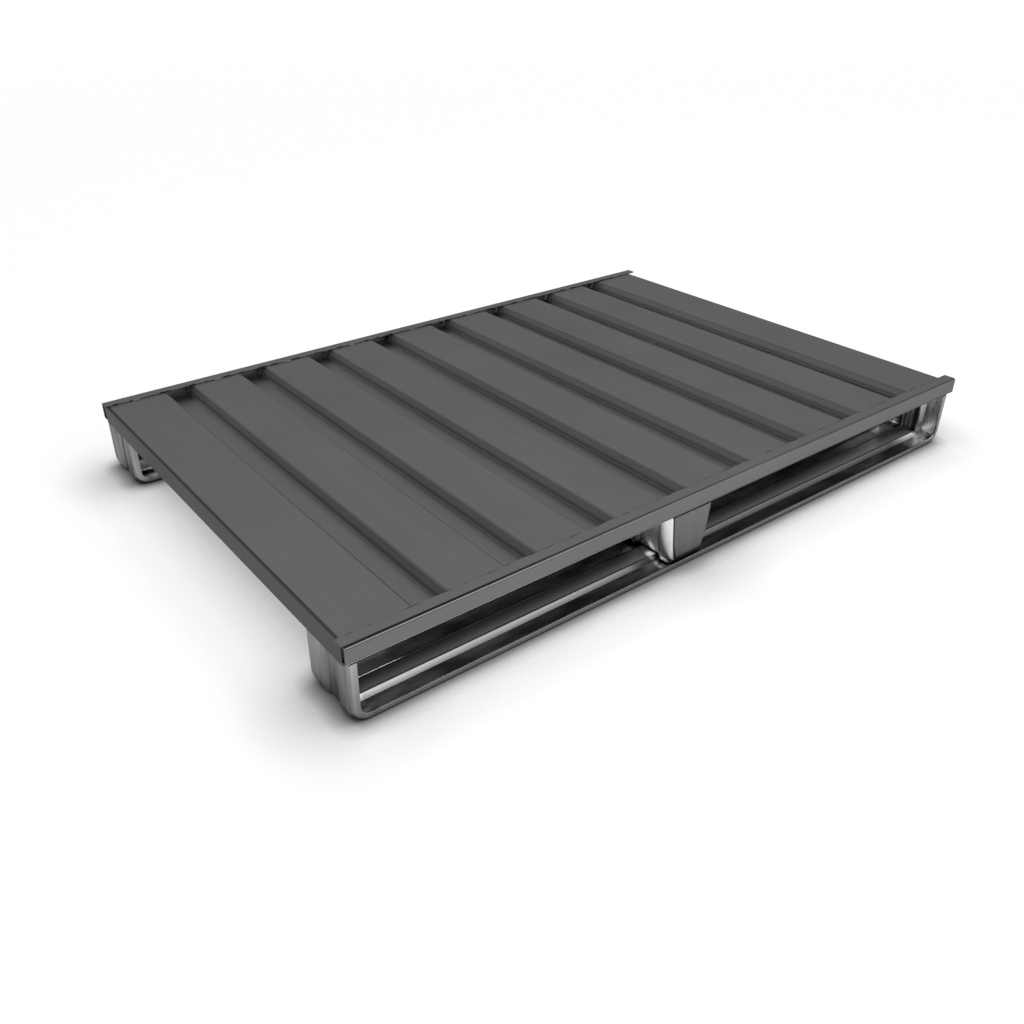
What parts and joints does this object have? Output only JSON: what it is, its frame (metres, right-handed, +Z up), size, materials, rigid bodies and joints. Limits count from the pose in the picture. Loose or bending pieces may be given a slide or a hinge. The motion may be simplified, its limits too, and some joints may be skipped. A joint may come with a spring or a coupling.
{
  "type": "steel pallet",
  "caption": "Low flat steel pallet with a grooved deck sheet, folded edge rails, two pressed floor runners that turn up into legs, and a pressed mid foot on each side.",
  "frame": {"origin": "centre of the pallet's outline, on the floor", "axes": "+X along the pallet's length, towards the end where the rails stand past the deck; +Z up"},
  "size_m": [1.2, 0.8, 0.115],
  "materials": {
    "deck_steel": "semi-gloss rolled sheet, dark grey",
    "rail_steel": "satin rolled sheet, grey",
    "runner_steel": "semi-gloss pressed sheet, grey",
    "foot_steel": "bright pressed sheet with soft drawing marks",
    "weld_metal": "bright uneven weld beads"
  },
  "bodies": {
    "root": {"deck_sheet": "deck_steel", "front_rail": "rail_steel", "rear_rail": "rail_steel", "front_runner": "runner_steel", "rear_runner": "runner_steel", "front_mid_foot": "foot_steel", "rear_mid_foot": "foot_steel", "front_rail_welds": "weld_metal", "rear_rail_welds": "weld_metal"}
  },
  "joints": []
}
